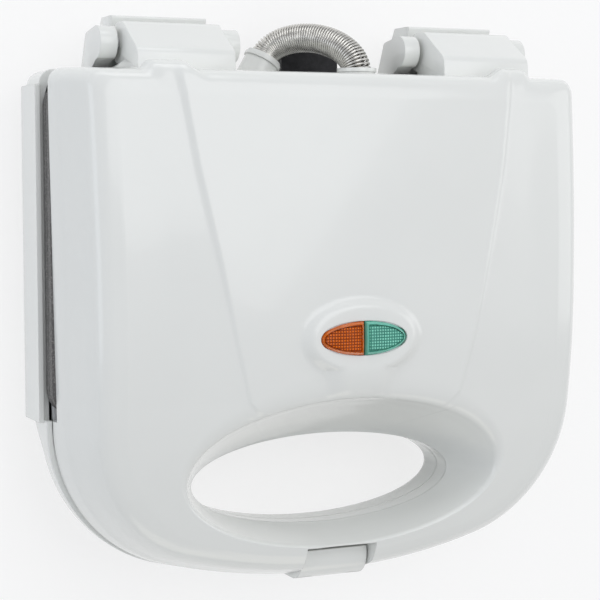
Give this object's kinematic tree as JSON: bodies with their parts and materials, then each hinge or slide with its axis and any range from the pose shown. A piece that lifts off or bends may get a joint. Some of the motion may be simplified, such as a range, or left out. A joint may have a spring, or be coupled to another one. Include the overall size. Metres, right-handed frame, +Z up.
{
  "type": "sandwich toaster",
  "caption": "Two-slice sandwich toaster: hinged glossy white clamshell casing, rounded front with a through handle, latch clip, lamp lens and non-stick triangle plates.",
  "frame": {"origin": "centre of the bounding box's underside, on the surface that the rubber feet stand on", "axes": "+Z up through the lid, -Y towards the handle and the latch, +Y towards the hinge, +X to the right seen from the front"},
  "size_m": [0.234, 0.2289, 0.0865],
  "materials": {
    "white_plastic": "smooth gloss white, moulded",
    "coated_plate": "cast, dark non-stick coating",
    "element_sheath": "heat-tinted sheath",
    "zinc_steel": "bright zinc",
    "aluminium_sheet": "mill finish sheet",
    "ceramic": "matt off-white ceramic",
    "black_plastic": "matt black",
    "lead_sleeving": "woven glass sleeving",
    "foot_rubber": "matt black",
    "pin_steel": "ground",
    "conduit_steel": "bright close-wound wire",
    "clear_plastic": "clear",
    "amber_plastic": "translucent amber",
    "green_plastic": "translucent green",
    "lamp_glass": "clear capsule"
  },
  "bodies": {
    "base": {"base_shell": "white_plastic", "base_frame": "white_plastic", "lower_plate": "coated_plate", "lower_element": "element_sheath", "lower_element_clamps": "zinc_steel", "lower_reflector": "aluminium_sheet", "lower_plate_screws": "zinc_steel", "thermal_fuse": "zinc_steel", "thermal_fuse_clip": "zinc_steel", "terminal_block": "ceramic", "cord_inlet": "black_plastic", "cord_clamp": "black_plastic", "cord_clamp_screws": "zinc_steel", "base_leads": "lead_sleeving", "base_screws": "zinc_steel", "rubber_feet": "foot_rubber", "base_ferrule": "white_plastic", "hinge_pin_left": "pin_steel", "hinge_pin_right": "pin_steel", "wire_conduit": "conduit_steel", "conduit_leads": "lead_sleeving"},
    "lid": {"lid_shell": "white_plastic", "lid_frame": "white_plastic", "upper_plate": "coated_plate", "upper_element": "element_sheath", "upper_element_clamps": "zinc_steel", "upper_reflector": "aluminium_sheet", "upper_plate_screws": "zinc_steel", "thermostat": "ceramic", "thermostat_bracket": "zinc_steel", "lens_holder": "clear_plastic", "amber_lens": "amber_plastic", "green_lens": "green_plastic", "power_lamp": "lamp_glass", "ready_lamp": "lamp_glass", "lamp_leads": "zinc_steel", "lid_ferrule": "white_plastic", "lid_screws": "zinc_steel", "latch_pin": "pin_steel", "latch_spring": "pin_steel"},
    "latch": {"latch_clip": "white_plastic"}
  },
  "joints": [
    {"name": "lid_hinge", "type": "hinge", "parent": "base", "child": "lid", "pos_m": [0, 0.103, 0.042], "axis": [-1, 0, 0], "range_deg": [0, 105], "deforming": ["wire_conduit", "conduit_leads"]},
    {"name": "latch_pivot", "type": "hinge", "parent": "lid", "child": "latch", "pos_m": [0, -0.105, 0.051], "axis": [-1, 0, 0], "range_deg": [0, 25], "deforming": ["latch_spring"]}
  ]
}
